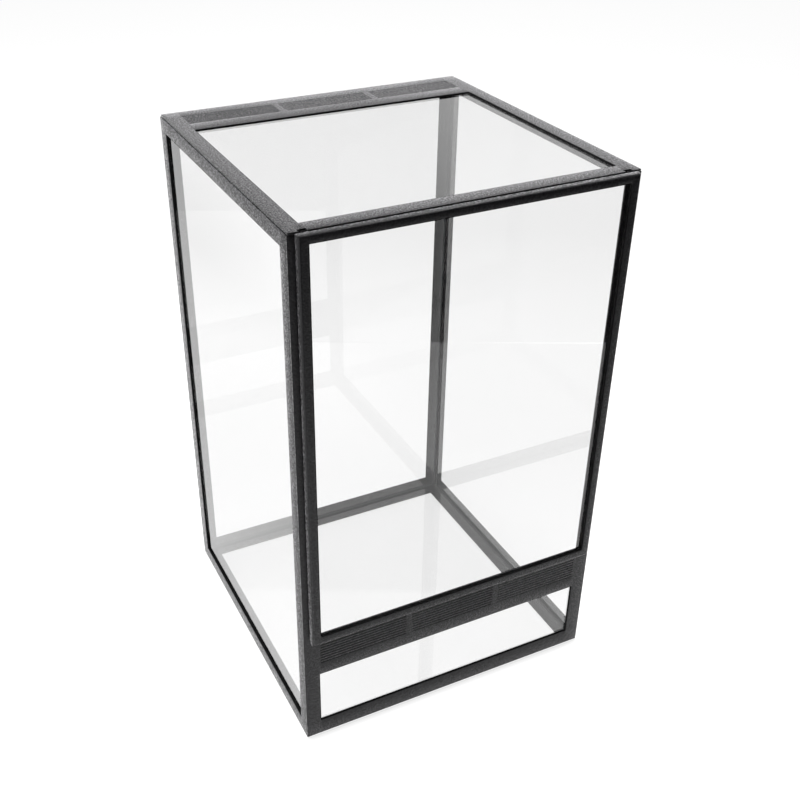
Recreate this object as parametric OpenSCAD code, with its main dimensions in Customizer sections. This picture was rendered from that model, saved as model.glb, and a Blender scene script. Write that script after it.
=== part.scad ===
// Tall glass terrarium in a black sheet-steel cage, with a flap door that lifts
// on two small pin hinges under the front edge of the lid.
// X is the width, Y the depth (the door is on -Y) and Z the height.

/* [Body] */
// Overall width across the side sheets
body_w = 200; // [160:1:300]
// Depth from the face of the front sheet to the face of the rear sheet
body_d = 200; // [160:1:300]
// Overall height
body_h = 334.4; // [250:0.1:500]
// Width of the rails and posts round the windows
rail_w = 9.3; // [8:0.1:14]
// Height of the rail under the lower front window
foot_rail = 10.8; // [8:0.1:14]
// Thickness of the steel sheet
sheet_t = 1; // [0.8:0.1:1.2]

/* [Glazing] */
// Thickness of the fixed panes
glass_t = 3; // [3:0.5:4]
// Thickness of the bonding tape between the upright and base sheets and their glass
tape_t = 0.3; // [0.3:0.1:1]
// Thickness of the thin tape between the lid and its pane
lid_tape_t = 0.2; // [0.2:0.1:0.6]
// Thickness of the tape's lip, which lines the cut edge of a window
lip_t = 0.4; // [0.3:0.05:0.5]
// Leg of the silicone bead inside the corners of the glass box
bead_leg = 1.5; // [1.2:0.1:3]

/* [Vents] */
// Slots one above the other in each vent
slot_count = 8; // [4:1:8]
// Distance from slot to slot
slot_pitch = 2; // [1.8:0.1:2.2]
// Width of a slot
slot_w = 0.7; // [0.5:0.1:1.3]
// Groups of slots side by side
slot_groups = 3; // [1:1:5]
// Solid web between two groups
group_gap = 4; // [2:0.5:8]
// How far a vent stops short of the width of the windows, at each end
vent_inset = 1; // [0:0.5:4]
// Height of the middle of the front vent
front_vent_z = 66.8; // [65:0.1:68]
// Distance from the rear face to the middle of the lid vent
lid_vent_inset = 17.6; // [16:0.1:19]

/* [Front openings] */
// Height of the top edge of the lower window
lower_window_top = 50.7; // [40:0.1:55]
// Height of the sill of the door opening
door_sill_z = 82.5; // [81.5:0.5:84]
// Height of the strip above the door opening
header_h = 6; // [5:0.5:8]
// Width of the lid's rear strip, which holds the lid vent
lid_rear_strip = 37.1; // [32:0.1:40]

/* [Door] */
// How far the door stands in front of the front sheet
door_proud = 5; // [4.5:0.1:6]
// Gap behind the door's folded edge
door_gap = 1; // [0.8:0.1:1.2]
// Strip of front sheet left bare on each side of the door
door_margin = 3.6; // [3:0.1:6]
// Width of the door's top rail
door_rail = 4.3; // [4:0.1:6]
// Width of the door's stiles
door_stile = 5.2; // [4:0.1:6]
// Width of the door's bottom rail
door_foot_rail = 5.6; // [4:0.1:7]
// Drop from the lid's face to the door's top edge
door_drop = 0.4; // [0.3:0.1:1]
// Height of the door's bottom edge
door_bottom_z = 79.3; // [78:0.1:81]
// Outer radius of the door's folded edges
door_bend_r = 1.1; // [1.1:0.1:2]
// Thickness of the door's pane
door_glass_t = 1.8; // [1.5:0.1:2]
// Thickness of the bonding tape between the door and its pane
door_tape_t = 0.8; // [0.5:0.1:1.2]
// Length of each closing magnet
magnet_l = 15; // [8:1:30]

/* [Hinge] */
// Diameter of the hinge pins
pin_d = 0.8; // [0.7:0.1:0.9]
// Running clearance of a pin in the door's arm, on the radius
pin_play = 0.05; // [0.02:0.01:0.08]
// Distance from the body's side to the outer side of each hinge notch
notch_inset = 5.8; // [5.2:0.1:8]
// Width of the notch in the lid and the front sheet at each hinge
notch_w = 4.6; // [4.6:0.1:5.2]
// Depth of the notch from the front face
notch_depth = 2.4; // [2.1:0.1:2.6]
// Thickness of the door's hinge arm
arm_t = 1.6; // [1.2:0.1:1.6]
// Thickness of each ear of the fixed hinge bracket
ear_t = 0.8; // [0.7:0.1:0.9]

/* [Hidden] */
$fn = 48;

steel_black = [0.15, 0.15, 0.16];
tape_black = [0.04, 0.04, 0.04];
clear_glass = [0.85, 0.93, 0.92, 0.3];
clear_silicone = [0.8, 0.82, 0.82, 0.6];
bare_steel = [0.7, 0.7, 0.72];

seam = 0.3;             // shadow gap under the lid sheet
hairline = 0.1;         // joint between neighbouring upright sheets
pane_gap = 0.2;         // joint between neighbouring panes
corner_r = 0.6;         // laser-cut radius in the corners of the windows
lip_drop = 0.15;        // the tape's lip ends this far below the sheet's face
lid_inset = 0.5;        // the lid stops this short of the body's sides and rear

half_w = body_w / 2;
front_y = (door_proud - body_d) / 2;
rear_y = front_y + body_d;
lid_z = body_h - sheet_t;            // underside of the lid sheet
wall_top_z = lid_z - seam;           // top edge of the upright sheets
window_x = half_w - rail_w;
window_top_z = body_h - rail_w;

skin = sheet_t + tape_t;             // from a sheet's face to the glass
glass_x = half_w - skin;             // outer face of the side panes
inner_x = glass_x - glass_t;         // inner face of the side panes
inset_x = inner_x - pane_gap;        // panes that stand between the side panes
glass_front_y = front_y + skin;
glass_rear_y = rear_y - skin;
inner_front_y = glass_front_y + glass_t;
inner_rear_y = glass_rear_y - glass_t;
glass_top_z = lid_z - lid_tape_t;
floor_z = skin + glass_t;
roof_z = glass_top_z - glass_t;

vent_half = ((slot_count - 1) * slot_pitch + slot_w) / 2;
vent_x = window_x - vent_inset;
group_w = (2 * vent_x - (slot_groups - 1) * group_gap) / slot_groups;
front_pane_top = front_vent_z - vent_half - 1.5;
lid_vent_y = rear_y - lid_vent_inset;
lid_window_rear_y = rear_y - lid_rear_strip;
lid_pane_front_y = front_y + notch_depth + 1.6;
lid_pane_rear_y = lid_vent_y - vent_half - 2;

door_half = half_w - door_margin;
door_front_y = front_y - door_proud;
door_back_y = front_y - door_gap;
door_top_z = body_h - door_drop;
door_h = door_top_z - door_bottom_z;
door_window_x = door_half - door_stile;
door_window_z = [door_bottom_z + door_foot_rail, door_top_z - door_rail];
door_lap = 1.2;                      // how far the pane reaches behind the rails
door_tape_y = door_front_y + sheet_t;
door_pane_y = door_tape_y + door_tape_t;
magnet_gap = 0.4;                    // from a magnet to the front sheet, door shut

hinge_y = front_y + 1;               // the hinge axis, along X
hinge_z = body_h - 1.3;
eye_r = 0.8;
ear_r = 0.75;
notch_out_x = half_w - notch_inset;  // outer side of a hinge notch
notch_x = notch_out_x - notch_w;
notch_mid_x = notch_out_x - notch_w / 2;
notch_floor_z = hinge_z - 1.3;
ear_clear = 0.1;                     // from an ear to the side of its notch
bracket_w = notch_w - 2 * ear_clear;

// Places a flat outline that is drawn in X and Z, from y to y + t
module upright_x(y, t) {
    translate([0, y + t, 0]) rotate([90, 0, 0]) linear_extrude(t) children();
}

// Places a flat outline that is drawn in Y and Z, from x to x + t
module upright_y(x, t) {
    translate([x, 0, 0]) rotate([90, 0, 90]) linear_extrude(t) children();
}

// Places a flat outline that is drawn in X and Y, from z to z + t
module flat(z, t) {
    translate([0, 0, z]) linear_extrude(t) children();
}

module rect(x0, x1, y0, y1) {
    translate([x0, y0]) square([x1 - x0, y1 - y0]);
}

// A rectangle with round corners, for a laser-cut window
module window(x0, x1, y0, y1, r = corner_r) {
    rect(x0 + r, x1 - r, y0, y1);
    rect(x0, x1, y0 + r, y1 - r);
    for (x = [x0 + r, x1 - r], y = [y0 + r, y1 - r]) translate([x, y]) circle(r);
}

// What a window leaves open once the tape's lip lines its cut edge
module lined_window(x0, x1, y0, y1) {
    window(x0 + lip_t, x1 - lip_t, y0 + lip_t, y1 - lip_t, corner_r - lip_t);
}

// Section of that lip, looking at the sheet's face
module lip(x0, x1, y0, y1) {
    difference() {
        window(x0, x1, y0, y1);
        lined_window(x0, x1, y0, y1);
    }
}

// Groups of long slots, centred on the height y of the flat outline
module vent_slots(y) {
    for (group = [0 : slot_groups - 1], slot = [0 : slot_count - 1])
        translate([-vent_x + group * (group_w + group_gap),
                   y - vent_half + slot * slot_pitch])
            square([group_w, slot_w]);
}

// The same shape on the left and on the right
module both_sides() {
    children();
    mirror([1, 0, 0]) children();
}

// Section of a silicone bead in a corner, with a hollow face and blunt ends
module bead_section() {
    difference() {
        square(bead_leg);
        translate([1.25, 1.25] * bead_leg) circle(1.1 * bead_leg);
    }
}

// ---- Steel sheets ----

module front_sheet() {
    color(steel_black) upright_x(front_y, sheet_t) difference() {
        rect(-half_w, half_w, 0, wall_top_z);
        window(-window_x, window_x, foot_rail, lower_window_top);
        window(-window_x, window_x, door_sill_z, body_h - header_h);
        vent_slots(front_vent_z);
        both_sides() rect(notch_x, notch_out_x, notch_floor_z, body_h);
    }
}

module rear_sheet() {
    color(steel_black) upright_x(rear_y - sheet_t, sheet_t) difference() {
        rect(-half_w, half_w, 0, wall_top_z);
        window(-window_x, window_x, rail_w, window_top_z);
    }
}

module side_sheet() {
    color(steel_black) upright_y(half_w - sheet_t, sheet_t) difference() {
        rect(front_y + sheet_t + hairline, rear_y - sheet_t - hairline, 0, wall_top_z);
        window(front_y + rail_w, rear_y - rail_w, rail_w, window_top_z);
    }
}

module left_sheet() {
    mirror([1, 0, 0]) side_sheet();
}

module right_sheet() {
    side_sheet();
}

module lid_sheet() {
    color(steel_black) flat(lid_z, sheet_t) difference() {
        rect(lid_inset - half_w, half_w - lid_inset, front_y, rear_y - lid_inset);
        window(-window_x, window_x, front_y + rail_w, lid_window_rear_y);
        vent_slots(lid_vent_y);
        both_sides() rect(notch_x, notch_out_x, front_y - 1, front_y + notch_depth);
    }
}

module base_sheet() {
    edge = sheet_t + hairline;
    color(steel_black) flat(0, sheet_t) difference() {
        rect(edge - half_w, half_w - edge, front_y + edge, rear_y - edge);
        window(-window_x, window_x, front_y + rail_w, rear_y - rail_w);
    }
}

// ---- Glass ----

module front_pane() {
    color(clear_glass) upright_x(glass_front_y, glass_t) rect(-inset_x, inset_x, skin, front_pane_top);
}

module rear_pane() {
    color(clear_glass) upright_x(inner_rear_y, glass_t) rect(-glass_x, glass_x, skin, glass_top_z);
}

module side_pane() {
    color(clear_glass) upright_y(inner_x, glass_t)
        rect(glass_front_y, inner_rear_y - pane_gap, skin, glass_top_z);
}

module left_pane() {
    mirror([1, 0, 0]) side_pane();
}

module right_pane() {
    side_pane();
}

module lid_pane() {
    color(clear_glass) flat(roof_z, glass_t) rect(-inset_x, inset_x, lid_pane_front_y, lid_pane_rear_y);
}

module base_pane() {
    color(clear_glass) flat(skin, glass_t)
        rect(-inset_x, inset_x, inner_front_y + pane_gap, inner_rear_y - pane_gap);
}

// ---- Bonding tape, with a lip that lines the cut edge of each window ----

module front_tape() {
    color(tape_black) {
        upright_x(front_y + sheet_t, tape_t) difference() {
            rect(-glass_x, glass_x, skin, glass_top_z);
            rect(-inner_x, inner_x, front_pane_top, body_h);
            lined_window(-window_x, window_x, foot_rail, lower_window_top);
        }
        upright_x(front_y + lip_drop, sheet_t - lip_drop)
            lip(-window_x, window_x, foot_rail, lower_window_top);
    }
}

module rear_tape() {
    color(tape_black) {
        upright_x(glass_rear_y, tape_t) difference() {
            rect(-glass_x, glass_x, skin, glass_top_z);
            lined_window(-window_x, window_x, rail_w, window_top_z);
        }
        upright_x(rear_y - sheet_t, sheet_t - lip_drop)
            lip(-window_x, window_x, rail_w, window_top_z);
    }
}

module side_tape() {
    color(tape_black) {
        upright_y(glass_x, tape_t) difference() {
            rect(glass_front_y, inner_rear_y - pane_gap, skin, glass_top_z);
            lined_window(front_y + rail_w, rear_y - rail_w, rail_w, window_top_z);
        }
        upright_y(half_w - sheet_t, sheet_t - lip_drop)
            lip(front_y + rail_w, rear_y - rail_w, rail_w, window_top_z);
    }
}

module left_tape() {
    mirror([1, 0, 0]) side_tape();
}

module right_tape() {
    side_tape();
}

module lid_tape() {
    color(tape_black) {
        flat(glass_top_z, lid_tape_t) difference() {
            rect(-glass_x, glass_x, glass_front_y, glass_rear_y);
            lined_window(-window_x, window_x, front_y + rail_w, lid_window_rear_y);
            rect(-window_x, window_x, lid_vent_y - vent_half - 1, lid_vent_y + vent_half + 1);
            both_sides() rect(notch_x, notch_out_x, front_y, lid_pane_front_y - seam);
        }
        flat(lid_z, sheet_t - lip_drop)
            lip(-window_x, window_x, front_y + rail_w, lid_window_rear_y);
    }
}

module base_tape() {
    color(tape_black) {
        flat(sheet_t, tape_t) difference() {
            rect(-glass_x, glass_x, glass_front_y, glass_rear_y);
            lined_window(-window_x, window_x, front_y + rail_w, rear_y - rail_w);
        }
        flat(lip_drop, sheet_t - lip_drop)
            lip(-window_x, window_x, front_y + rail_w, rear_y - rail_w);
    }
}

// ---- Silicone ----

// A bead that runs up a corner between a side pane and a pane across it
module upright_bead(y, turn, z0, z1) {
    translate([inner_x, y, z0]) rotate(turn) linear_extrude(z1 - z0) bead_section();
}

module corner_silicone() {
    bottom = floor_z + bead_leg;
    color(clear_silicone) both_sides() {
        upright_bead(inner_rear_y, 180, bottom, glass_top_z);
        upright_bead(inner_front_y, 90, bottom, front_pane_top);
    }
}

// The beads run on past each corner, and the frame of the floor trims them
module base_silicone() {
    depth = inner_rear_y - inner_front_y;
    color(clear_silicone) translate([0, 0, floor_z]) {
        both_sides() translate([inner_x, inner_rear_y, 0]) rotate([90, 0, 0])
            linear_extrude(depth) mirror([1, 0]) bead_section();
        translate([-inner_x, inner_front_y, 0]) rotate([90, 0, 90])
            linear_extrude(2 * inner_x) bead_section();
        translate([-inner_x, inner_rear_y, 0]) rotate([90, 0, 90])
            linear_extrude(2 * inner_x) mirror([1, 0]) bead_section();
    }
}

module lid_silicone() {
    color(clear_silicone) both_sides()
        translate([inner_x, lid_pane_rear_y, roof_z]) rotate([90, 0, 0])
            linear_extrude(lid_pane_rear_y - lid_pane_front_y) rotate(180) bead_section();
}

// ---- Hinges ----

// Outline of an ear: a round end on the axis and a neck back to the web
module ear_outline(r, back_y) {
    translate([hinge_y, hinge_z]) circle(r);
    rect(hinge_y, back_y, hinge_z - r, lid_z);
}

// A U of folded sheet under each notch, welded to the underside of the lid
module hinge_brackets() {
    web_y = front_y + notch_depth + 0.2;
    web_t = 0.8;
    color(steel_black) both_sides() {
        for (x = [notch_x + ear_clear, notch_out_x - ear_clear - ear_t])
            upright_y(x, ear_t) difference() {
                ear_outline(ear_r, web_y + web_t);
                translate([hinge_y, hinge_z]) circle(d = pin_d);
            }
        translate([notch_x + ear_clear, web_y, hinge_z - ear_r])
            cube([bracket_w, web_t, lid_z - hinge_z + ear_r]);
    }
}

module hinge_pins() {
    color(steel_black) both_sides()
        translate([notch_x + ear_clear, hinge_y, hinge_z]) rotate([0, 90, 0])
            cylinder(h = bracket_w, d = pin_d);
}

// ---- Door ----

// What a bend of outer radius r takes off an edge that runs through the origin
module round_off(r) {
    difference() {
        translate([-1, -1]) square(r + 1);
        translate([r, r]) circle(r);
    }
}

// The door's block with its four front edges rounded, shrunk inwards by g
module tray_block(g, back) {
    half = door_half - g;
    y0 = door_front_y + g;
    z0 = door_bottom_z + g;
    z1 = door_top_z - g;
    r = door_bend_r - g;
    difference() {
        translate([-half, y0, z0]) cube([2 * half, back - y0, z1 - z0]);
        both_sides() translate([-half, y0, z0 - 1]) linear_extrude(z1 - z0 + 2) round_off(r);
        translate([-half - 1, y0, z0]) rotate([90, 0, 90])
            linear_extrude(2 * half + 2) round_off(r);
        translate([-half - 1, y0, z1]) rotate([90, 0, 90])
            linear_extrude(2 * half + 2) mirror([0, 1]) round_off(r);
    }
}

module door_tray() {
    color(steel_black) difference() {
        tray_block(0, door_back_y);
        tray_block(sheet_t, front_y);
        upright_x(door_front_y - 1, door_proud)
            window(-door_window_x, door_window_x, door_window_z[0], door_window_z[1]);
    }
}

module door_pane_outline() {
    rect(-door_window_x - door_lap, door_window_x + door_lap,
         door_window_z[0] - door_lap, door_window_z[1] + door_lap);
}

module door_pane() {
    color(clear_glass) upright_x(door_pane_y, door_glass_t) door_pane_outline();
}

module door_tape() {
    color(tape_black) {
        upright_x(door_tape_y, door_tape_t) difference() {
            door_pane_outline();
            lined_window(-door_window_x, door_window_x, door_window_z[0], door_window_z[1]);
        }
        upright_x(door_front_y + lip_drop, sheet_t - lip_drop)
            lip(-door_window_x, door_window_x, door_window_z[0], door_window_z[1]);
    }
}

// Arms welded inside the tray's top edge, each with an eye on the hinge axis
module door_arms() {
    arm_top_z = door_top_z - sheet_t;
    color(steel_black) both_sides()
        upright_y(notch_mid_x - arm_t / 2, arm_t) difference() {
            union() {
                rect(door_front_y + door_bend_r, hinge_y, hinge_z - eye_r, arm_top_z);
                translate([hinge_y, hinge_z]) circle(eye_r);
            }
            translate([hinge_y, hinge_z]) circle(pin_d / 2 + pin_play);
        }
}

// Bars in the foot of each stile, which hold to the steel posts behind them
module door_magnets() {
    magnet_x = door_window_x + door_lap + 0.1;
    magnet_y = door_front_y + door_bend_r;
    color(bare_steel) both_sides()
        translate([magnet_x, magnet_y, door_bottom_z + door_bend_r])
            cube([door_half - sheet_t - magnet_x, front_y - magnet_gap - magnet_y, magnet_l]);
}

front_sheet();
rear_sheet();
left_sheet();
right_sheet();
lid_sheet();
base_sheet();
front_pane();
rear_pane();
left_pane();
right_pane();
lid_pane();
base_pane();
front_tape();
rear_tape();
left_tape();
right_tape();
lid_tape();
base_tape();
corner_silicone();
base_silicone();
lid_silicone();
hinge_brackets();
hinge_pins();
door_tray();
door_pane();
door_tape();
door_arms();
door_magnets();
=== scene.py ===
"""Tall glass terrarium in a powder-coated steel cage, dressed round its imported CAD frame.

Every length in the size classes is in millimetres, and MM turns it to the metres of the scene.
X is the width, Y the depth with the door on -Y, and Z the height.
"""

import logging
import math
from collections.abc import Callable, Iterable
from dataclasses import dataclass, field
from enum import Enum

import bmesh
import bpy
from mathutils import Matrix, Vector

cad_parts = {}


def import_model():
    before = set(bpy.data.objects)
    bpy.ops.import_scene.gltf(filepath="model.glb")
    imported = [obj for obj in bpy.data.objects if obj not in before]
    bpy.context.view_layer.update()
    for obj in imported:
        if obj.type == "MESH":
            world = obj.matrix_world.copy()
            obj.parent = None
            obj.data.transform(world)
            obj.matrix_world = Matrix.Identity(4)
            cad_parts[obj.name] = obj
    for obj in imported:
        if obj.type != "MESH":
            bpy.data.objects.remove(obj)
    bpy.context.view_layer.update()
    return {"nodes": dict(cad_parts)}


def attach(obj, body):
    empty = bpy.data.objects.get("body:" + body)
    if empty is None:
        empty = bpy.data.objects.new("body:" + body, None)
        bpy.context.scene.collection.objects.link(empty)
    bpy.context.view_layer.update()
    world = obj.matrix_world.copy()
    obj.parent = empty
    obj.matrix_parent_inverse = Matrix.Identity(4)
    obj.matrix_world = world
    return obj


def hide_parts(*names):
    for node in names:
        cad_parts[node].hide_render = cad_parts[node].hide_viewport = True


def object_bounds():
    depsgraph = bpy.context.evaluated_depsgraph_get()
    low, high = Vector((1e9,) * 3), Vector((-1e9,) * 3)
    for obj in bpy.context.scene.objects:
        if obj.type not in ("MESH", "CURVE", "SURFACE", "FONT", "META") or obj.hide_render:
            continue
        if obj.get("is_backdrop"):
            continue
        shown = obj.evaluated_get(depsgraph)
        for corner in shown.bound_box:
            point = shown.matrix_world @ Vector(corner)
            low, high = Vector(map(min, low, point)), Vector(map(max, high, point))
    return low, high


log = logging.getLogger("terrarium")

MM = 0.001
SMOOTH_BELOW = math.radians(35.0)
SAME_PLACE = 0.05
SQUARE = 0.999

Rect = tuple[float, float, float, float]
Colour = tuple[float, float, float, float]
Span = tuple[float, float]
Place = tuple[float, float, float]
Piece = bpy.types.Object
Material = bpy.types.Material
NodeSocket = bpy.types.NodeSocket
Sockets = bpy.types.bpy_prop_collection


# ---------------- sizes


@dataclass(frozen=True)
class CageSizes:
    """Sizes that the parts of the cage share, in millimetres.

    They repeat the named values of the CAD source, so that each piece falls on its node.
    """

    width: float = 200.0
    depth: float = 200.0
    height: float = 334.4
    rail: float = 9.3
    foot_rail: float = 10.8
    sheet: float = 1.0
    tape: float = 0.3
    lid_tape: float = 0.2
    bond_gap: float = 0.03
    glass: float = 3.0
    door_proud: float = 5.0
    seam: float = 0.3
    hairline: float = 0.1
    pane_gap: float = 0.2
    lid_inset: float = 0.5
    corner_radius: float = 0.6

    @property
    def half(self) -> float:
        """Half of the width."""
        return self.width / 2

    @property
    def front(self) -> float:
        """Y of the face of the front sheet."""
        return (self.door_proud - self.depth) / 2

    @property
    def rear(self) -> float:
        """Y of the face of the rear sheet."""
        return self.front + self.depth

    @property
    def lid_under(self) -> float:
        """Z of the underside of the lid sheet."""
        return self.height - self.sheet

    @property
    def wall_top(self) -> float:
        """Z of the top edge of the upright sheets."""
        return self.lid_under - self.seam

    @property
    def window(self) -> float:
        """Half of the width of the windows in the front, the rear, the lid and the base."""
        return self.half - self.rail

    @property
    def skin(self) -> float:
        """Depth from the face of a sheet to the glass under it."""
        return self.sheet + self.tape

    @property
    def glass_x(self) -> float:
        """Outer face of the side panes."""
        return self.half - self.skin

    @property
    def inner_x(self) -> float:
        """Inner face of the side panes."""
        return self.glass_x - self.glass


@dataclass(frozen=True)
class VentSizes:
    """Sizes of the two slotted vents, in millimetres."""

    slots: int = 8
    pitch: float = 2.0
    slot: float = 0.7
    groups: int = 3
    group_gap: float = 4.0
    side_inset: float = 1.0
    front_z: float = 66.8
    lid_inset: float = 17.6

    @property
    def half(self) -> float:
        """Half of the height of a vent."""
        return ((self.slots - 1) * self.pitch + self.slot) / 2

    def rects(self, window: float, middle: float) -> list[Rect]:
        """Outlines of all slots of a vent.

        Args:
            window: half of the width of the windows in line with the vent.
            middle: where the middle of the vent lies across the slots.

        Returns:
            One rectangle for each slot, in the plane of the sheet.
        """
        reach = window - self.side_inset
        group = (2 * reach - (self.groups - 1) * self.group_gap) / self.groups
        made = []
        for side in range(self.groups):
            left = -reach + side * (group + self.group_gap)
            for row in range(self.slots):
                low = middle - self.half + row * self.pitch
                made.append((left, left + group, low, low + self.slot))
        return made


# ---------------- modelling by operators


class Side(Enum):
    """The side of the cage that a flat piece faces, as its own right, up and outward axes."""

    FRONT = ((1, 0, 0), (0, 0, 1), (0, -1, 0))
    REAR = ((-1, 0, 0), (0, 0, 1), (0, 1, 0))
    LEFT = ((0, -1, 0), (0, 0, 1), (-1, 0, 0))
    RIGHT = ((0, 1, 0), (0, 0, 1), (1, 0, 0))
    TOP = ((1, 0, 0), (0, 1, 0), (0, 0, 1))
    BASE = ((1, 0, 0), (0, -1, 0), (0, 0, -1))

    def matrix(self, face: float) -> Matrix:
        """Placing of a piece drawn flat, in metres.

        Args:
            face: distance of the piece's outer face from the origin along its outward axis.

        Returns:
            The matrix from the flat drawing to the scene.
        """
        right, up, out = (Vector(axis) for axis in self.value)
        turn = Matrix((right, up, out)).transposed().to_4x4()
        return Matrix.Translation(out * face) @ turn

    def own(self, rect: Rect) -> Rect:
        """A rectangle given along the scene's axes, in the axes of this side.

        Args:
            rect: low and high along X (or Y for the two sides), then low and high along
                Z (or Y for the lid and the base).

        Returns:
            The same rectangle as low and high along right, then along up.
        """
        flip_right = -1 if sum(self.value[0]) < 0 else 1
        flip_up = -1 if sum(self.value[1]) < 0 else 1
        right = sorted((rect[0] * flip_right, rect[1] * flip_right))
        up = sorted((rect[2] * flip_up, rect[3] * flip_up))
        return (right[0], right[1], up[0], up[1])


def deselect() -> None:
    """Leaves edit mode and deselects everything."""
    if bpy.context.object is not None and bpy.context.object.mode != "OBJECT":
        bpy.ops.object.mode_set(mode="OBJECT")
    bpy.ops.object.select_all(action="DESELECT")


def select_only(piece: Piece) -> None:
    """Makes a piece the one selected and active object."""
    deselect()
    piece.select_set(True)
    bpy.context.view_layer.objects.active = piece


def open_mesh(piece: Piece) -> None:
    """Opens a piece in edit mode, to select faces."""
    select_only(piece)
    bpy.ops.object.mode_set(mode="EDIT")
    bpy.ops.mesh.select_mode(type="FACE")


def close_mesh() -> None:
    """Closes edit mode."""
    bpy.ops.object.mode_set(mode="OBJECT")


def pick(piece: Piece, kind: str, test: Callable[[object], bool]) -> None:
    """Selects the faces or edges that pass a test, and nothing else.

    Args:
        piece: an object that is open in edit mode.
        kind: faces or edges.
        test: called with each element.
    """
    bpy.ops.mesh.select_mode(type={"faces": "FACE", "edges": "EDGE"}[kind])
    mesh = bmesh.from_edit_mesh(piece.data)
    for group in (mesh.faces, mesh.edges, mesh.verts):
        for element in group:
            element.select = False
    for element in getattr(mesh, kind):
        if test(element):
            element.select_set(True)
    mesh.select_flush_mode()
    bmesh.update_edit_mesh(piece.data)


def add_primitive(
    name: str, add: Callable[..., object], size: Place, centre: Place, turn: Place = (0, 0, 0)
) -> Piece:
    """Adds a primitive at its size and place, with both in its mesh.

    Args:
        name: the piece's name.
        add: the operator that adds it, one unit wide.
        size: its size in metres.
        centre: its centre in metres.
        turn: its turn about X, Y and Z in radians.

    Returns:
        The new piece.
    """
    deselect()
    add(size=1)
    piece = bpy.context.object
    piece.name = piece.data.name = name
    piece.scale, piece.rotation_euler, piece.location = size, turn, centre
    bpy.ops.object.transform_apply(location=True, rotation=True, scale=True)
    return piece


def cut(piece: Piece, openings: list[Rect], depth: int) -> None:
    """Scores the faces square to an axis round every opening, and drops what lies inside.

    Args:
        piece: an object with a face that is square to the axis.
        openings: rectangles across the other two axes.
        depth: number of the axis.
    """
    across = [axis for axis in range(3) if axis != depth]
    scores = []
    for axis, part in zip(across, (slice(0, 2), slice(2, 4))):
        ends = [vert.co[axis] / MM for vert in piece.data.vertices]
        low, high = min(ends) + SAME_PLACE, max(ends) - SAME_PLACE
        edges = {edge for rect in openings for edge in rect[part] if low < edge < high}
        normal = tuple(int(axis == other) for other in range(3))
        scores += [(normal, at) for at in sorted(edges)]

    def square(face: bmesh.types.BMFace) -> bool:
        """Whether a face is square to the axis."""
        return abs(face.normal[depth]) > SQUARE

    def inside(face: bmesh.types.BMFace) -> bool:
        """Whether such a face lies in an opening."""
        u, v = (face.calc_center_median()[axis] / MM for axis in across)
        return square(face) and any(r[0] < u < r[1] and r[2] < v < r[3] for r in openings)

    open_mesh(piece)
    for normal, at in scores:
        pick(piece, "faces", square)
        spot = tuple(at * MM * part for part in normal)
        bpy.ops.mesh.bisect(plane_co=spot, plane_no=normal)
    pick(piece, "faces", inside)
    bpy.ops.mesh.delete(type="FACE")
    close_mesh()


def round_corners(
    piece: Piece, windows: list[Rect], depth: int, radius: float, segments: int
) -> None:
    """Rounds the corners of windows to the radius that the laser leaves.

    Args:
        piece: a sheet with its thickness.
        windows: rectangles across the axes that the sheet lies along.
        depth: number of the axis that its thickness lies along.
        radius: radius of each corner in millimetres.
        segments: facets round each corner.
    """
    across = [axis for axis in range(3) if axis != depth]
    corners = [(u, v) for rect in windows for u in rect[:2] for v in rect[2:]]

    def at_corner(edge: bmesh.types.BMEdge) -> bool:
        """Whether an edge runs through the sheet at a corner of a window."""
        near, far = (vert.co / MM for vert in edge.verts)
        return abs(near[depth] - far[depth]) > SAME_PLACE and any(
            sum(abs(near[axis] - at) for axis, at in zip(across, corner)) < SAME_PLACE
            for corner in corners
        )

    open_mesh(piece)
    pick(piece, "edges", at_corner)
    bpy.ops.mesh.bevel(offset=radius * MM, segments=segments, affect="EDGES")
    close_mesh()


def round_edges(piece: Piece, width: float, segments: int, angle: float = 40.0) -> None:
    """Rounds every sharp edge of a piece and applies it.

    Args:
        piece: the object to round.
        width: width of the rounding in millimetres.
        segments: facets across the rounding.
        angle: edges sharper than this many degrees are rounded.
    """
    select_only(piece)
    rounding = piece.modifiers.new("edge_rounding", "BEVEL")
    rounding.width = width * MM
    rounding.segments = segments
    rounding.limit_method = "ANGLE"
    rounding.angle_limit = math.radians(angle)
    rounding.use_clamp_overlap = True
    bpy.ops.object.modifier_apply(modifier=rounding.name)


def settle(piece: Piece) -> None:
    """Puts a finished piece's place in its mesh, and its faces outwards and smooth."""
    select_only(piece)
    bpy.ops.object.transform_apply(location=True, rotation=True, scale=True)
    open_mesh(piece)
    bpy.ops.mesh.select_all(action="SELECT")
    bpy.ops.mesh.normals_make_consistent(inside=False)
    close_mesh()
    bpy.ops.object.shade_smooth_by_angle(angle=SMOOTH_BELOW)
    deselect()


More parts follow.
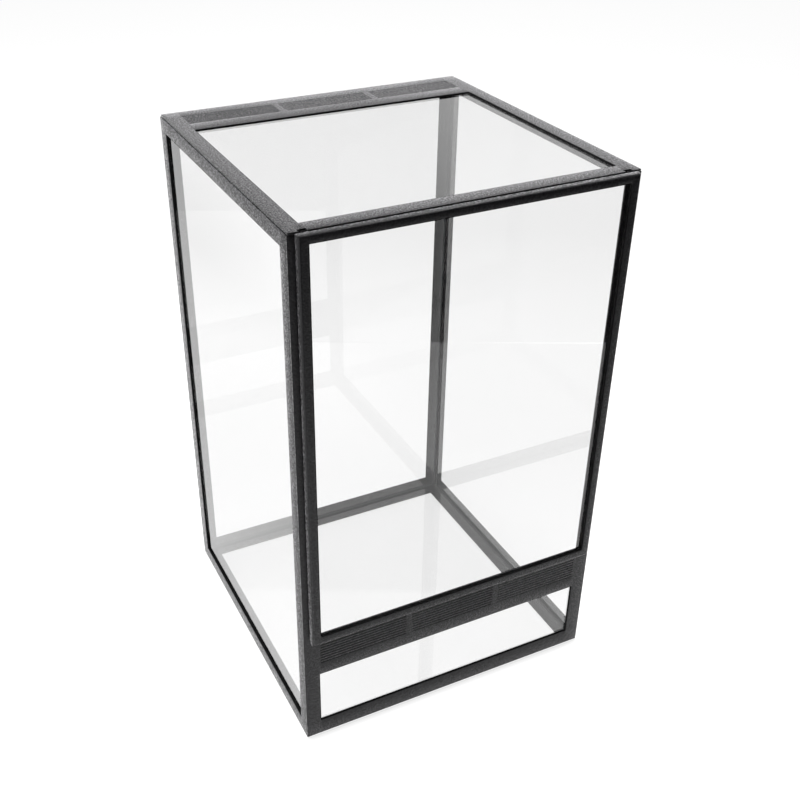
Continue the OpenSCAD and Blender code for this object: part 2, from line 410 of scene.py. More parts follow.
@dataclass
class Plate:
    """A flat piece cut from sheet or glass, with rectangular openings.

    Args:
        name: the piece's name.
        node: the CAD node that it stands for.
        side: the side of the cage that it faces.
        face: distance of its outer face from the origin, in millimetres.
        thickness: its thickness in millimetres.
        outline: its outer rectangle along the scene's axes.
        openings: rectangles that are cut out.
        windows: more such rectangles, whose corners are rounded.
        corner_radius: radius of those corners.
        corner_segments: facets round each of them.
        edge: width of the rounding of every edge.
        edge_segments: facets across that rounding.
    """

    name: str
    node: str
    side: Side
    face: float
    thickness: float
    outline: Rect
    openings: list[Rect] = field(default_factory=list)
    windows: list[Rect] = field(default_factory=list)
    corner_radius: float = 0.6
    corner_segments: int = 4
    edge: float = 0.2
    edge_segments: int = 2

    def build(self) -> Piece:
        """Cuts, thickens and rounds the piece.

        Returns:
            The finished object, with its place in its mesh.
        """
        left, right, low, high = self.side.own(self.outline)
        windows = [self.side.own(rect) for rect in self.windows]
        openings = windows + [self.side.own(rect) for rect in self.openings]
        size = ((right - left) * MM, (high - low) * MM, 1)
        centre = ((left + right) / 2 * MM, (low + high) / 2 * MM, 0)
        piece = add_primitive(self.name, bpy.ops.mesh.primitive_plane_add, size, centre)
        if openings:
            cut(piece, openings, depth=2)
        self._thicken(piece)
        if windows:
            round_corners(piece, windows, 2, self.corner_radius, self.corner_segments)
        round_edges(piece, self.edge, self.edge_segments)
        piece.matrix_world = self.side.matrix(self.face * MM)
        settle(piece)
        return piece

    def _thicken(self, piece: Piece) -> None:
        """Extrudes the flat outline inwards by the sheet's thickness."""
        open_mesh(piece)
        bpy.ops.mesh.select_all(action="SELECT")
        bpy.ops.mesh.extrude_region_move(
            TRANSFORM_OT_translate={"value": (0, 0, -self.thickness * MM)}
        )
        bpy.ops.mesh.select_all(action="SELECT")
        bpy.ops.mesh.normals_make_consistent(inside=False)
        close_mesh()


# ---------------- finishes


def linear(code: str) -> Colour:
    """The linear colour of an sRGB hex code.

    Args:
        code: six hex digits, with or without a leading #.

    Returns:
        Red, green, blue and an alpha of 1.
    """
    values = [int(code.lstrip("#")[at : at + 2], 16) / 255 for at in (0, 2, 4)]
    red, green, blue = (
        value / 12.92 if value <= 0.04045 else ((value + 0.055) / 1.055) ** 2.4 for value in values
    )
    return (red, green, blue, 1.0)


def grey(level: float) -> Colour:
    """The grey of a linear level, where 1 is white."""
    return (level, level, level, 1.0)


def per_mm(size: float) -> float:
    """Scale of a texture on Object coordinates whose features are this many millimetres wide."""
    return 1 / (size * MM)


class Nodes:
    """A shader's node tree, with the moves that the finishes and the studio share."""

    def __init__(self, tree: bpy.types.NodeTree) -> None:
        """Starts with an empty tree."""
        self.tree = tree
        tree.nodes.clear()

    def add(
        self, kind: str, inputs: dict[str | int, object] | None = None, **settings: object
    ) -> Sockets:
        """Adds a node with its settings, its links and the values of its free sockets.

        Args:
            kind: the node's type name, without the ShaderNode that it starts with.
            inputs: by the name or number of an input, the output socket to link to it, or the
                constant to set on it.
            settings: attributes of the node.

        Returns:
            The new node's outputs.
        """
        node = self.tree.nodes.new(f"ShaderNode{kind}")
        for name, value in settings.items():
            setattr(node, name, value)
        for name, value in (inputs or {}).items():
            if isinstance(value, NodeSocket):
                self.tree.links.new(value, node.inputs[name])
            else:
                node.inputs[name].default_value = value
        return node.outputs

    def calc(self, operation: str, *values: NodeSocket | float) -> NodeSocket:
        """The result of an operation on one to three values."""
        return self.add("Math", dict(enumerate(values)), operation=operation)[0]

    def ramp(self, value: NodeSocket, reach: Span = (0, 1), levels: Span = (0, 1)) -> NodeSocket:
        """A value brought from a reach to two levels, and held at either end."""
        return self.add("MapRange", dict(enumerate((value, *reach, *levels))))[0]

    def choose(self, share: NodeSocket, low: NodeSocket, high: NodeSocket | float) -> NodeSocket:
        """The level low where a share is 0, and high where it is 1."""
        return self.add("Mix", {0: share, 2: low, 3: high}, data_type="FLOAT")[0]

    def blend(self, share: NodeSocket, low: NodeSocket | Colour, high: Colour) -> NodeSocket:
        """The colour low where a share is 0, and high where it is 1."""
        return self.add("Mix", {0: share, 6: low, 7: high}, data_type="RGBA")[2]

    def noise(
        self, place: NodeSocket, width: float, detail: float = 2.0, roughness: float = 0.5
    ) -> NodeSocket:
        """Noise with features of a width in millimetres."""
        inputs = {"Vector": place, "Scale": per_mm(width), "Detail": detail, "Roughness": roughness}
        return self.add("TexNoise", inputs)[0]

    def relief(self, height: NodeSocket, depth: float, strength: float = 1.0) -> NodeSocket:
        """The normal of a relief of a depth in millimetres."""
        inputs = {"Height": height, "Strength": strength, "Distance": depth * MM}
        return self.add("Bump", inputs)[0]

    def looking(self) -> NodeSocket:
        """1 for a ray that looks, mirrors or passes through glass, and 0 for one that lights."""
        path = self.add("LightPath")
        found = path["Is Camera Ray"]
        for kind in ("Is Glossy Ray", "Is Transmission Ray"):
            found = self.calc("MAXIMUM", found, path[kind])
        return found


@dataclass(frozen=True)
class Finish:
    """A material of one name, whose nodes each kind of finish draws for itself."""

    name: str

    def draw(self, nodes: Nodes, place: NodeSocket) -> NodeSocket:
        """Draws the surface, with its patterns laid out by place.

        Args:
            nodes: the material's nodes.
            place: Object coordinates.

        Returns:
            The finished surface.
        """
        raise NotImplementedError

    def make(self) -> Material:
        """Builds the material."""
        material = bpy.data.materials.new(self.name)
        material.use_nodes = True
        nodes = Nodes(material.node_tree)
        place = nodes.add("TexCoord")["Object"]
        nodes.add("OutputMaterial", {"Surface": self.draw(nodes, place)})
        return material


@dataclass(frozen=True)
class PowderCoat(Finish):
    """Fine-texture polyester powder coat, sprayed dry on sheet steel and baked.

    The melted powder leaves a pebbled skin, so each face carries a fine light-and-dark grain,
    and a bright surrounding shows as a broad grey sheen and never as a sharp reflection.

    Args:
        dark: colour in the hollows of the grain.
        light: colour on its crests.
        painted_sheen: a painted sheen, near white, that the crests take on at a glancing angle.
        roughness: roughness in the hollows, and on the crests.
        specular: strength of its gloss, a little under that of plain lacquer.
        grain: width of a pebble in millimetres. The real one is about 0.4, which a view of
            the whole cage can't show, so it is drawn coarser.
        grain_reach: noise at the bottom of a hollow and on a crest.
        bump: height of the pebbles in millimetres.
        cloud: width of the slow clouds in the coat, in millimetres.
        cloud_share: how much they add to the grain.
        spark: width of a crest that takes the painted sheen, in millimetres.
        spark_reach: noise where such a crest starts, and where it is full.
        spark_falloff: how fast the painted sheen fades as the surface turns to face the eye.
    """

    name: str = "powder_coat_fine_texture_black"
    dark: str = "#0e0e0f"
    light: str = "#252427"
    painted_sheen: str = "#fbfafd"
    roughness: Span = (0.46, 0.28)
    specular: float = 0.32
    grain: float = 1.1
    grain_reach: Span = (0.34, 0.66)
    bump: float = 0.1
    cloud: float = 22.0
    cloud_share: float = 0.25
    spark: float = 0.88
    spark_reach: Span = (0.45, 0.62)
    spark_falloff: float = 3.0

    def draw(self, nodes: Nodes, place: NodeSocket) -> NodeSocket:
        """Draws the surface."""
        grain = nodes.ramp(nodes.noise(place, self.grain, roughness=0.6), self.grain_reach)
        clouds = nodes.noise(place, self.cloud)
        mixed = nodes.calc("MULTIPLY_ADD", clouds, self.cloud_share, grain)
        colour = nodes.blend(mixed, linear(self.dark), linear(self.light))
        # The crests turn near white at a glancing angle: a painted sheen in the base colour.
        crests = nodes.ramp(nodes.noise(place, self.spark, roughness=0.7), self.spark_reach)
        slant = nodes.add("LayerWeight", {"Blend": 0.5})["Facing"]
        glancing = nodes.calc("POWER", slant, self.spark_falloff)
        painted_sheen_share = nodes.calc("MULTIPLY", crests, glancing)
        inputs = {
            "Base Color": nodes.blend(painted_sheen_share, colour, linear(self.painted_sheen)),
            "Roughness": nodes.ramp(grain, levels=self.roughness),
            "Normal": nodes.relief(grain, self.bump),
            "IOR": 1.5,
            "Specular IOR Level": self.specular,
        }
        return nodes.add("BsdfPrincipled", inputs)[0]


@dataclass(frozen=True)
class FloatGlass(Finish):
    """Clear float glass, drawn on molten tin, cut and arrised.

    Both faces are fire-polished, so each mirrors a little of the room, more at a glancing
    angle, over a clear view of what stands behind the pane.

    Args:
        tint: what one face lets through.
        ior: index of refraction.
    """

    name: str = "float_glass_clear"
    tint: str = "#fdfdfd"
    ior: float = 1.5

    def draw(self, nodes: Nodes, place: NodeSocket) -> NodeSocket:
        """Draws the surface."""
        leaving = nodes.add("NewGeometry")["Backfacing"]
        one_face = nodes.add("Fresnel", {"IOR": self.ior})[0]
        # What both faces mirror, with the light that bounces between them, is 2R / (1 + R).
        # It is all drawn where light enters, so that the two images stay as close as in a
        # real pane, whose refraction this clear view leaves out.
        doubled = nodes.calc("MULTIPLY", one_face, 2.0)
        both_faces = nodes.calc("DIVIDE", doubled, nodes.calc("ADD", one_face, 1.0))
        share = nodes.choose(leaving, both_faces, 0.0)
        through = nodes.add("BsdfTransparent", {"Color": linear(self.tint)})[0]
        mirror = nodes.add("BsdfGlossy", {"Color": grey(1.0), "Roughness": 0.0})[0]
        return nodes.add("MixShader", {0: share, 1: through, 2: mirror})[0]


@dataclass(frozen=True)
class FoamTape(Finish):
    """Black closed-cell acrylic foam tape, slit from a roll.

    Its cut edge is dull and shows fine cells, so it reads as a soft black line round the glass.

    Args:
        colour: its colour.
        roughness: roughness of the cut edge.
        specular: strength of its gloss.
        cell: width of a cell in millimetres.
        depth: depth of a cut cell in millimetres.
    """

    name: str = "foam_tape_black_closed_cell"
    colour: str = "#0d0d0e"
    roughness: float = 0.85
    specular: float = 0.15
    cell: float = 0.5
    depth: float = 0.05

    def draw(self, nodes: Nodes, place: NodeSocket) -> NodeSocket:
        """Draws the surface."""
        cells = nodes.add("TexVoronoi", {"Vector": place, "Scale": per_mm(self.cell)})["Distance"]
        inputs = {
            "Normal": nodes.relief(cells, self.depth, strength=0.5),
            "Base Color": linear(self.colour),
            "Roughness": self.roughness,
            "Specular IOR Level": self.specular,
        }
        return nodes.add("BsdfPrincipled", inputs)[0]


@dataclass(frozen=True)
class Silicone(Finish):
    """Clear acetoxy silicone, tooled wet with a finger.

    It is nearly clear, with a milky cast and a soft wavy gloss.

    Args:
        colour: colour of its milky cast.
        alpha: how much of that cast shows.
        roughness: roughness of the tooled skin.
        ior: index of refraction.
        wave: width of the finger's waves in millimetres.
        height: height of those waves in millimetres.
    """

    name: str = "silicone_clear_tooled"
    colour: str = "#dfe3e2"
    alpha: float = 0.05
    roughness: float = 0.25
    ior: float = 1.41
    wave: float = 9.0
    height: float = 0.3

    def draw(self, nodes: Nodes, place: NodeSocket) -> NodeSocket:
        """Draws the surface."""
        waves = nodes.noise(place, self.wave, detail=1.0)
        inputs = {
            "Normal": nodes.relief(waves, self.height, strength=0.4),
            "Base Color": linear(self.colour),
            "Roughness": self.roughness,
            "IOR": self.ior,
            "Alpha": self.alpha,
        }
        return nodes.add("BsdfPrincipled", inputs)[0]


@dataclass(frozen=True)
class SmallMetal(Finish):
    """A small metal part with drawing lines along X.

    Args:
        colour: colour of the metal.
        roughness: its roughness.
        spread: share by which the drawing lines vary the roughness.
        line: width of a drawing line in millimetres.
        stretch: width of a line's pattern over its length.
    """

    colour: str
    roughness: float
    spread: float = 0.3
    line: float = 0.15
    stretch: float = 0.05

    def draw(self, nodes: Nodes, place: NodeSocket) -> NodeSocket:
        """Draws the surface."""
        stretched = nodes.add("Mapping", {"Vector": place, "Scale": (self.stretch, 1.0, 1.0)})[0]
        levels = (self.roughness * (1 - self.spread), self.roughness * (1 + self.spread))
        inputs = {
            "Base Color": linear(self.colour),
            "Roughness": nodes.ramp(nodes.noise(stretched, self.line), levels=levels),
            "Metallic": 1.0,
        }
        return nodes.add("BsdfPrincipled", inputs)[0]


class Finishes:
    """The materials of the whole object, each made once."""

    def __init__(self) -> None:
        """Makes them all."""
        self.steel = PowderCoat().make()
        self.glass = FloatGlass().make()
        self.tape = FoamTape().make()
        self.silicone = Silicone().make()
        # Steel boiled in a blackening salt and oiled: nearly black, with a dull satin line.
        self.hinge = SmallMetal("steel_blackened_oiled", "#161617", 0.5).make()
        # Nickel plate on a sintered magnet: a warm, slightly clouded mirror.
        self.magnet = SmallMetal("nickel_plate_tumbled", "#b5aea3", 0.2).make()


class Slot(Enum):
    """Names of two of the record's material slots, which nothing in this script uses."""

    STEEL = "steel_powder_black"
    GLASS = "pane_glass"


def dress(piece: Piece, material: Material, body: str, node: str) -> None:
    """Gives a new piece its finish and its body, and hides the CAD node that it stands for.

    Args:
        piece: the finished object.
        material: its finish.
        body: the CAD body that it rides on.
        node: the CAD node that it replaces.
    """
    piece.data.materials.clear()
    piece.data.materials.append(material)
    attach(piece, body)
    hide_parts(node)
    log.info("%s: %d faces on body %s", piece.name, len(piece.data.polygons), body)


def recoat(nodes: dict[str, Piece], names: Iterable[str], material: Material) -> None:
    """Gives CAD nodes whose shape stays a finish of this file.

    Args:
        nodes: the CAD nodes by name.
        names: the nodes to dress.
        material: their finish.
    """
    for name in names:
        nodes[name].data.materials.clear()
        nodes[name].data.materials.append(material)
        log.info("%s: CAD node, finish %s", name, material.name)


# ---------------- sub-assemblies


@dataclass
class SteelCage:
    """The six sheets of the cage."""

    cage: CageSizes
    vents: VentSizes
    lower_window_top: float = 50.7
    door_sill: float = 82.5
    lid_rear_strip: float = 37.1
    notch_inset: float = 5.8
    notch_width: float = 4.6
    notch_depth: float = 2.4
    notch_floor: float = 331.8
    header: float = 6.0
    edge: float = 0.1

    def notches(self, low: float, high: float) -> list[Rect]:
        """The two hinge notches, between two places across the sheet."""
        outer = self.cage.half - self.notch_inset
        inner = outer - self.notch_width
        return [(inner, outer, low, high), (-outer, -inner, low, high)]

    def plates(self) -> list[Plate]:
        """Every sheet."""
        c, vents = self.cage, self.vents
        across = (-c.window, c.window)
        top = c.height - c.rail
        tucked = c.sheet + c.hairline
        wall = (-c.half, c.half, 0, c.wall_top)
        side = (c.front + tucked, c.rear - tucked, 0, c.wall_top)
        side_window = (c.front + c.rail, c.rear - c.rail, c.rail, top)
        lid = (c.lid_inset - c.half, c.half - c.lid_inset, c.front, c.rear - c.lid_inset)
        base = (tucked - c.half, c.half - tucked, c.front + tucked, c.rear - tucked)
        front_windows = [
            (*across, c.foot_rail, self.lower_window_top),
            (*across, self.door_sill, c.height - self.header),
        ]
        front_cuts = [
            *vents.rects(c.window, vents.front_z),
            *self.notches(self.notch_floor, c.wall_top),
        ]
        lid_window = (*across, c.front + c.rail, c.rear - self.lid_rear_strip)
        lid_cuts = [
            *vents.rects(c.window, c.rear - vents.lid_inset),
            *self.notches(c.front, c.front + self.notch_depth),
        ]
        base_window = (*across, c.front + c.rail, c.rear - c.rail)
        made = [
            ("front", Side.FRONT, -c.front, wall, front_windows, front_cuts),
            ("rear", Side.REAR, c.rear, wall, [(*across, c.rail, top)], []),
            ("left", Side.LEFT, c.half, side, [side_window], []),
            ("right", Side.RIGHT, c.half, side, [side_window], []),
            ("lid", Side.TOP, c.height, lid, [lid_window], lid_cuts),
            ("base", Side.BASE, 0, base, [base_window], []),
        ]
        return [
            Plate(
                f"steel_{name}",
                f"{name}_sheet",
                facing,
                face,
                c.sheet,
                outline,
                openings=cuts,
                windows=windows,
                corner_radius=c.corner_radius,
                edge=self.edge,
            )
            for name, facing, face, outline, windows, cuts in made
        ]

    def build(self, finishes: Finishes) -> None:
        """Builds and dresses the sheets."""
        for plate in self.plates():
            dress(plate.build(), finishes.steel, "cabinet", plate.node)


@dataclass
class GlassBox:
    """The six fixed panes, with their tape and silicone."""

    cage: CageSizes
    vents: VentSizes
    low_pane_gap: float = 1.5
    lid_pane_front: float = 4.0
    lid_pane_gap: float = 2.0
    arris: float = 0.3

    def panes(self) -> list[Plate]:
        """Every pane."""
        c = self.cage
        gap = c.bond_gap
        front, rear = c.front + c.skin, c.rear - c.skin
        front_inside, rear_inside = front + c.glass + c.pane_gap, rear - c.glass - c.pane_gap
        top = c.lid_under - c.lid_tape
        between = c.inner_x - c.pane_gap
        low_top = self.vents.front_z - self.vents.half - self.low_pane_gap
        lid_front = c.front + self.lid_pane_front
        lid_rear = c.rear - self.vents.lid_inset - self.vents.half - self.lid_pane_gap
        back = (-c.glass_x, c.glass_x, c.skin, top)
        side = (front, rear_inside, c.skin, top)
        low = (-between, between, c.skin, low_top)
        lid = (-between, between, lid_front, lid_rear)
        floor = (-between, between, front_inside, rear_inside)
        made = [
            ("glass_front_low", "front_pane", Side.FRONT, -front - gap, low),
            ("glass_rear", "rear_pane", Side.REAR, rear - gap, back),
            ("glass_left", "left_pane", Side.LEFT, c.glass_x - gap, side),
            ("glass_right", "right_pane", Side.RIGHT, c.glass_x - gap, side),
            ("glass_lid", "lid_pane", Side.TOP, top - gap, lid),
            ("glass_floor", "base_pane", Side.BASE, -c.skin - gap, floor),
        ]
        return [
            Plate(*which, face, c.glass - gap, outline, edge=self.arris, edge_segments=1)
            for *which, face, outline in made
        ]

    def build(self, nodes: dict[str, Piece], finishes: Finishes) -> None:
        """Builds and dresses the panes, and dresses the tape and the silicone."""
        for plate in self.panes():
            dress(plate.build(), finishes.glass, "cabinet", plate.node)
        sides = ("front", "rear", "left", "right", "lid", "base")
        recoat(nodes, [f"{side}_tape" for side in sides], finishes.tape)
        recoat(nodes, ["corner_silicone", "base_silicone", "lid_silicone"], finishes.silicone)


@dataclass
class FlapDoor:
    """The lift-up door: a folded tray, its pane and tape, its hinge arms and its magnets."""

    cage: CageSizes
    gap: float = 1.0
    margin: float = 3.6
    rail: float = 4.3
    stile: float = 5.2
    foot_rail: float = 5.6
    drop: float = 0.4
    bottom: float = 79.3
    bend: float = 1.6
    bend_segments: int = 5
    tape: float = 0.8
    pane_thickness: float = 1.8
    pane_arris: float = 0.25
    lap: float = 1.2
    corner_radius: float = 1.5
    corner_segments: int = 5
    edge: float = 0.15
    edge_angle: float = 60.0

    @property
    def half(self) -> float:
        """Half of the door's width."""
        return self.cage.half - self.margin

    @property
    def top(self) -> float:
        """Z of the door's top edge."""
        return self.cage.height - self.drop

    @property
    def face(self) -> float:
        """Y of the door's face."""
        return self.cage.front - self.cage.door_proud

    @property
    def window(self) -> Rect:
        """The opening that the tray leaves for the pane."""
        reach = self.half - self.stile
        return (-reach, reach, self.bottom + self.foot_rail, self.top - self.rail)

    def tray(self) -> Piece:
        """The door's steel, folded back round a window.

        Returns:
            The finished object.
        """
        back = self.cage.front - self.gap
        size = (2 * self.half * MM, (back - self.face) * MM, (self.top - self.bottom) * MM)
        centre = (0, (self.face + back) / 2 * MM, (self.top + self.bottom) / 2 * MM)
        piece = add_primitive("door_folded_tray", bpy.ops.mesh.primitive_cube_add, size, centre)

        def on_face(edge: bmesh.types.BMEdge) -> bool:
            """Whether an edge lies round the door's face."""
            return all(abs(vert.co.y / MM - self.face) < SAME_PLACE for vert in edge.verts)

        open_mesh(piece)
        pick(piece, "faces", lambda face: face.normal.y > SQUARE)
        bpy.ops.mesh.delete(type="ONLY_FACE")
        pick(piece, "edges", on_face)
        bpy.ops.mesh.bevel(offset=self.bend * MM, segments=self.bend_segments, affect="EDGES")
        close_mesh()
        cut(piece, [self.window], depth=1)

        wall = piece.modifiers.new("sheet_thickness", "SOLIDIFY")
        wall.thickness = self.cage.sheet * MM
        wall.offset = -1
        wall.use_even_offset = True
        select_only(piece)
        bpy.ops.object.modifier_apply(modifier=wall.name)
        round_corners(piece, [self.window], 1, self.corner_radius, self.corner_segments)
        round_edges(piece, self.edge, segments=2, angle=self.edge_angle)
        settle(piece)
        return piece

    def pane(self) -> Plate:
        """The door's pane, behind its tape."""
        left, right, low, high = self.window
        gap = self.cage.bond_gap
        return Plate(
            "door_glass",
            "door_pane",
            Side.FRONT,
            -(self.face + self.cage.sheet + self.tape + gap),
            self.pane_thickness - gap,
            (left - self.lap, right + self.lap, low - self.lap, high + self.lap),
            edge=self.pane_arris,
            edge_segments=1,
        )

    def build(self, nodes: dict[str, Piece], finishes: Finishes) -> None:
        """Builds and dresses the door."""
        dress(self.tray(), finishes.steel, "door", "door_tray")
        pane = self.pane()
        dress(pane.build(), finishes.glass, "door", pane.node)
        recoat(nodes, ["door_tape"], finishes.tape)
        recoat(nodes, ["door_arms"], finishes.hinge)
        recoat(nodes, ["door_magnets"], finishes.magnet)


class Hinges:
    """The two pin hinges under the front edge of the lid."""

    def build(self, nodes: dict[str, Piece], finishes: Finishes) -> None:
        """Dresses the brackets and the pins."""
        recoat(nodes, ["hinge_brackets", "hinge_pins"], finishes.hinge)


# ---------------- studio


class Measure(Enum):
    """What the paper's level follows from place to place."""

    AWAY = "metres from the middle of the cage"
    BACK = "metres along the paper's heading"
    RIGHT = "metres along X"
    DEPTH = "metres along Y"
    OPEN = "share of the sky that stands open just above the paper"
    PANES = "glass faces that the ray has passed"


# Levels of the glow: what each follows, from where to where, and the level at either end. 1 is
# white. They are painted light and shade: a pool of light round the cage, a contact shadow at
# its foot, set levels where the panes show the paper, a little greyer at its far side, and
# set levels where they mirror it.
PAPER_RAMPS: dict[str, tuple[Measure, Span, Span]] = {
    # A painted pool of light: the glow is brighter round the cage.
    "bare": (Measure.AWAY, (0.5, 0.8), (1.38, 1.06)),
    # A painted contact shadow, where the ambient occlusion node finds the cage close.
    "contact": (Measure.OPEN, (0.3, 1.0), (0.5, 1.0)),
    # Painted light and shade for the paper seen through the panes, greyer towards its far side.
    "door_low": (Measure.BACK, (0.02, 0.2), (1.08, 1.0)),
    "door_high": (Measure.BACK, (0.375, 0.68), (1.13, 0.965)),
    "left_foot": (Measure.BACK, (0.0, 0.1), (1.08, 0.0)),
    "left_low": (Measure.BACK, (0.15, 0.35), (1.0, 1.07)),
    "left_high": (Measure.BACK, (0.383, 0.62), (1.07, 0.79)),
    "door_part": (Measure.RIGHT, (0.08, 0.16), (0.0, 1.0)),
    # Painted reflection: the levels at which glass and steel mirror the paper.
    "mirrored_front": (Measure.RIGHT, (-0.15, 0.35), (1.25, 0.75)),
    "mirrored_side": (Measure.BACK, (-0.1, 0.15), (1.15, 0.95)),
    "mirrored_far": (Measure.BACK, (0.3, 0.62), (0.95, 0.85)),
}
# Tests, each 1 where it holds. "past_edge" is where the panes mirror the edge of the table.
PAPER_TESTS: dict[str, tuple[Measure, str, float]] = {
    "past_edge": (Measure.BACK, "GREATER_THAN", 0.3815),
    "far": (Measure.BACK, "GREATER_THAN", 0.3),
    "beside": (Measure.BACK, "GREATER_THAN", -0.1),
    "in_front": (Measure.DEPTH, "LESS_THAN", -0.0975),
    "close": (Measure.AWAY, "LESS_THAN", 0.35),
    "through_glass": (Measure.PANES, "GREATER_THAN", 0.5),
}
# How they combine, in order. CHOOSE takes a test, the level where it fails and where it holds.
PAPER_RECIPE: tuple[tuple[str, ...], ...] = (
    ("shaded", "MULTIPLY", "bare", "contact"),
    ("at_foot", "MULTIPLY", "in_front", "close"),
    ("direct", "CHOOSE", "at_foot", "bare", "shaded"),
    ("by_door", "CHOOSE", "past_edge", "door_low", "door_high"),
    ("left_rest", "CHOOSE", "past_edge", "left_low", "left_high"),
    ("by_left", "MAXIMUM", "left_foot", "left_rest"),
    ("through", "CHOOSE", "door_part", "by_left", "by_door"),
    ("mirrored_near", "CHOOSE", "beside", "mirrored_front", "mirrored_side"),
    ("mirrored", "CHOOSE", "far", "mirrored_near", "mirrored_far"),
    ("seen", "CHOOSE", "through_glass", "direct", "through"),
    ("level", "CHOOSE", "is_mirrored", "seen", "mirrored"),
)


@dataclass(frozen=True)
class StagePaper(Finish):
    """White paper under the cage, matt and uncoated.

    Its matt part keeps the cage's shadow. Its glow shows white at a plain light, and carries
    painted light and shade, set by place and by the kind of ray.

    Args:
        white: linear level of the paper.
        glow: share of it that glows, for rays that look at it.
        heading: level direction, away from the front left, that BACK is counted along.
        contact: how far from the cage's foot the glow's painted contact shadow reaches, in metres.
    """

    name: str = "paper_white"
    white: float = 0.9
    glow: float = 0.8
    heading: Place = (0.447, 0.894, 0.0)
    contact: float = 0.008

    def level(self, nodes: Nodes, place: NodeSocket) -> NodeSocket:
        """How brightly the paper glows where a ray meets it.

        Args:
            nodes: the paper's nodes.
            place: Object coordinates.

        Returns:
            The strength of the glow.
        """
        path = nodes.add("LightPath")
        spot = nodes.add("SeparateXYZ", {0: place})
        along = {0: place, 1: self.heading}
        near = {"Distance": self.contact}
        measures = {
            Measure.AWAY: nodes.add("VectorMath", {0: place}, operation="LENGTH")["Value"],
            Measure.BACK: nodes.add("VectorMath", along, operation="DOT_PRODUCT")["Value"],
            Measure.RIGHT: spot["X"],
            Measure.DEPTH: spot["Y"],
            Measure.OPEN: nodes.add("AmbientOcclusion", near, samples=8)["AO"],
            Measure.PANES: path["Transparent Depth"],
        }
        made = {"is_mirrored": path["Is Glossy Ray"]}
        for name, (measure, reach, levels) in PAPER_RAMPS.items():
            made[name] = nodes.ramp(measures[measure], reach, levels)
        for name, (measure, operation, limit) in PAPER_TESTS.items():
            made[name] = nodes.calc(operation, measures[measure], limit)
        for name, operation, *parts in PAPER_RECIPE:
            sources = [made[part] for part in parts]
            if operation == "CHOOSE":
                made[name] = nodes.choose(*sources)
            else:
                made[name] = nodes.calc(operation, *sources)
        return made["level"]

    def draw(self, nodes: Nodes, place: NodeSocket) -> NodeSocket:
        """Draws the surface."""
        paper = nodes.add("BsdfDiffuse", {"Color": grey(self.white)})[0]
        strength = self.level(nodes, place)
        glow = nodes.add("Emission", {"Strength": strength, "Color": grey(1.0)})[0]
        share = nodes.calc("MULTIPLY", nodes.looking(), self.glow)
        return nodes.add("MixShader", {0: share, 1: paper, 2: glow})[0]


@dataclass(frozen=True)
class FlagCloth(Finish):
    """Black wool cloth on the flags, brushed, which mirrors nothing."""

    name: str = "flag_cloth_dark"
    level: float = 0.03

    def draw(self, nodes: Nodes, place: NodeSocket) -> NodeSocket:
        """Draws the surface."""
        return nodes.add("BsdfDiffuse", {"Color": grey(self.level)})[0]


@dataclass(frozen=True)
class SoftBox:
    """A square soft box, with its place, aim and width in metres and its power in watts.

    Args:
        mirrored: whether glass and steel mirror it.
    """

    name: str
    place: Place
    aim: Place
    width: float
    power: float
    mirrored: bool = False

    def build(self) -> None:
        """Hangs the lamp, which the camera doesn't see."""
        data = bpy.data.lights.new(self.name, "AREA")
        data.shape = "SQUARE"
        data.size = self.width
        data.energy = self.power
        lamp = bpy.data.objects.new(self.name, data)
        bpy.context.scene.collection.objects.link(lamp)
        lamp.location = self.place
        away = Vector(self.aim) - Vector(self.place)
        lamp.rotation_euler = away.to_track_quat("-Z", "Y").to_euler()
        lamp.visible_camera = False
        lamp.visible_glossy = self.mirrored


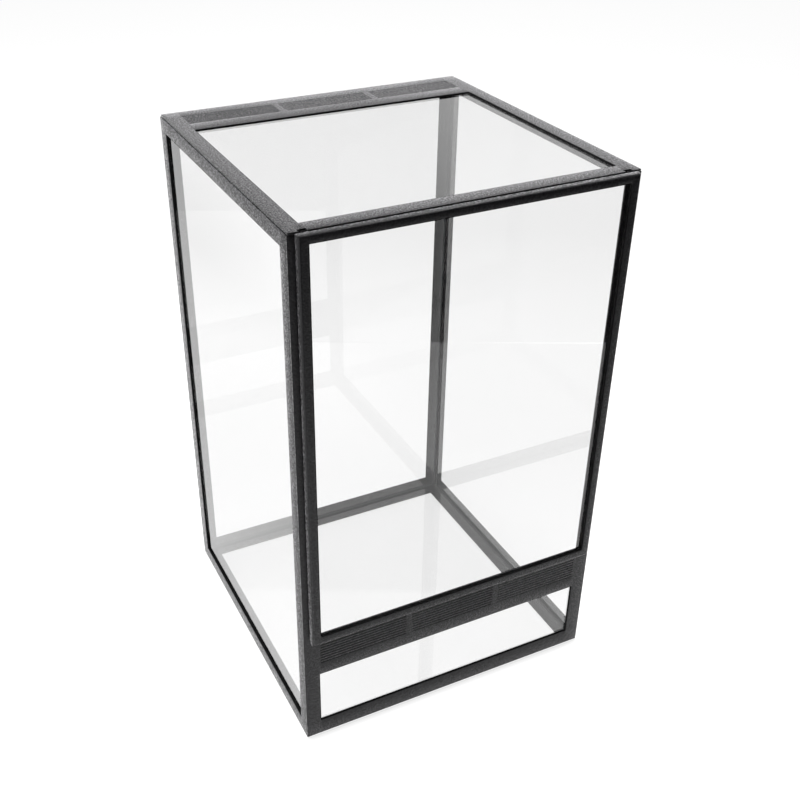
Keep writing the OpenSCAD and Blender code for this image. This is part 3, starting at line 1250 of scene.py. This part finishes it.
@dataclass
class Studio:
    """Camera, room, paper, flags and soft boxes.

    Args:
        camera_place: where the camera stands, in metres.
        camera_right: direction of its right side.
        camera_up: direction of its top.
        lens: focal length in millimetres.
        shift: how far the frame is shifted, in frame widths.
        room_light: strength at which the room lights the cage.
        room_mirrored: strength at which its walls are mirrored, and its ceiling.
        ceiling: sine of the elevation where the ceiling starts and where it is full.
        paper_drop: how far the paper lies under the cage's foot, in metres.
        paper_width: width of the paper, in metres.
        table_edge: distance from the cage's middle to the edge of the table, in metres.
        table_turn: how far that edge is turned from the cage's front, in degrees.
        flags: name, distance past the table's edge, height, size and tilt of each dark flag.
        lamps: the soft boxes.
    """

    camera_place: Place = (-0.2643, -0.52361, 0.52591)
    camera_right: Place = (0.900478, -0.434898, 0.001723)
    camera_up: Place = (0.23164, 0.482967, 0.844444)
    lens: float = 48.301
    shift: Span = (0.03839, 0.01832)
    room_light: float = 0.55
    room_mirrored: Span = (0.8, 1.4)
    ceiling: Span = (0.7, 0.9)
    paper_drop: float = 0.0002
    paper_width: float = 12.0
    table_edge: float = 0.5605
    table_turn: float = 25.6
    flags: tuple[tuple[str, float, float, Span, float], ...] = (
        ("flag_low", 0.5, 0.001, (4, 1), 0),
        ("flag_high", 0.6, 1.1, (4, 2.2), 90),
    )
    lamps: tuple[SoftBox, ...] = (
        SoftBox("softbox_top", (0.1, 0.9, 1.5), (0, 0, 0.2), 1.2, 14.0),
        SoftBox("softbox_left", (-1.4, 0.6, 0.35), (0, 0, 0.15), 1.0, 7.0),
        SoftBox("softbox_overhead", (0.68, 0.1, 1.75), (0, 0, 0.3), 0.2, 13.0, mirrored=True),
    )

    def build(self) -> None:
        """Sets up everything round the object."""
        scene = bpy.context.scene
        scene.view_settings.view_transform = "Standard"
        # A ray crosses up to a dozen glass faces, and mirrors in several of them.
        scene.cycles.transparent_max_bounces = 32
        scene.cycles.max_bounces = 16
        self._camera()
        self._world()
        centre, size = Vector((0, 0, -self.paper_drop)), (self.paper_width, self.paper_width)
        self._sheet("floor", centre, size).data.materials.append(StagePaper().make())
        self._flags()
        for lamp in self.lamps:
            lamp.build()

    def _camera(self) -> None:
        """The camera at the wanted angle."""
        data = bpy.data.cameras.new("camera")
        data.lens = self.lens
        data.shift_x, data.shift_y = self.shift
        data.clip_start, data.clip_end = 0.01, 50
        camera = bpy.data.objects.new("camera", data)
        bpy.context.scene.collection.objects.link(camera)
        right, up = Vector(self.camera_right).normalized(), Vector(self.camera_up).normalized()
        turn = Matrix((right, up, right.cross(up))).transposed().to_4x4()
        camera.matrix_world = Matrix.Translation(self.camera_place) @ turn
        bpy.context.scene.camera = camera

    def _world(self) -> None:
        """A white room that lights at a plain level, and a painted reflection of a bright ceiling.
        """
        world = bpy.data.worlds.new("room")
        world.use_nodes = True
        nodes = Nodes(world.node_tree)
        seen = nodes.ramp(nodes.looking(), levels=(self.room_light, 1.0))
        towards = nodes.add("TexCoord")["Generated"]
        height = nodes.add("SeparateXYZ", {0: towards})["Z"]
        # Glass and steel see the room brighter than it lights, most at the ceiling: a painted
        # reflection.
        mirrored = nodes.ramp(height, self.ceiling, self.room_mirrored)
        strength = nodes.choose(nodes.add("LightPath")["Is Glossy Ray"], seen, mirrored)
        room = nodes.add("Background", {"Strength": strength, "Color": grey(1.0)})[0]
        nodes.add("OutputWorld", {"Surface": room})
        bpy.context.scene.world = world

    def _sheet(self, name: str, centre: Vector, size: Span, turn: Span = (0, 0)) -> Piece:
        """A flat stage piece.

        Args:
            name: its name.
            centre: its centre, in metres.
            size: its width and length, in metres.
            turn: how far it is tilted up about X, then turned about Z, in degrees.

        Returns:
            The piece.
        """
        tilt, about = map(math.radians, turn)
        flat = bpy.ops.mesh.primitive_plane_add
        piece = add_primitive(name, flat, (*size, 1), centre, (tilt, 0, about))
        piece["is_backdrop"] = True
        return piece

    def _flags(self) -> None:
        """Dark cloth past the table's edge, which the camera doesn't see but the glass does."""
        cloth = FlagCloth().make()
        turn = math.radians(self.table_turn)
        out = Vector((math.sin(turn), -math.cos(turn), 0))
        for name, beyond, height, size, tilt in self.flags:
            centre = out * (self.table_edge + beyond) + Vector((0, 0, height))
            flag = self._sheet(name, centre, size, (tilt, self.table_turn))
            flag.data.materials.append(cloth)
            flag.visible_camera = flag.visible_shadow = False


# ---------------- the whole


def corners() -> list[list[float]]:
    """The lowest and highest corner of the shown object, as plain lists."""
    return [list(corner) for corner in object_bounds()]


def main() -> None:
    """Builds the terrarium round its frame, sub-assembly by sub-assembly."""
    logging.basicConfig(level=logging.INFO, format="%(name)s: %(message)s")
    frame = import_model()
    nodes = frame["nodes"]
    cage, vents = CageSizes(), VentSizes()
    finishes = Finishes()

    Studio().build()
    SteelCage(cage, vents).build(finishes)
    GlassBox(cage, vents).build(nodes, finishes)
    Hinges().build(nodes, finishes)
    FlapDoor(cage).build(nodes, finishes)
    deselect()


if __name__ == "__main__":
    main()
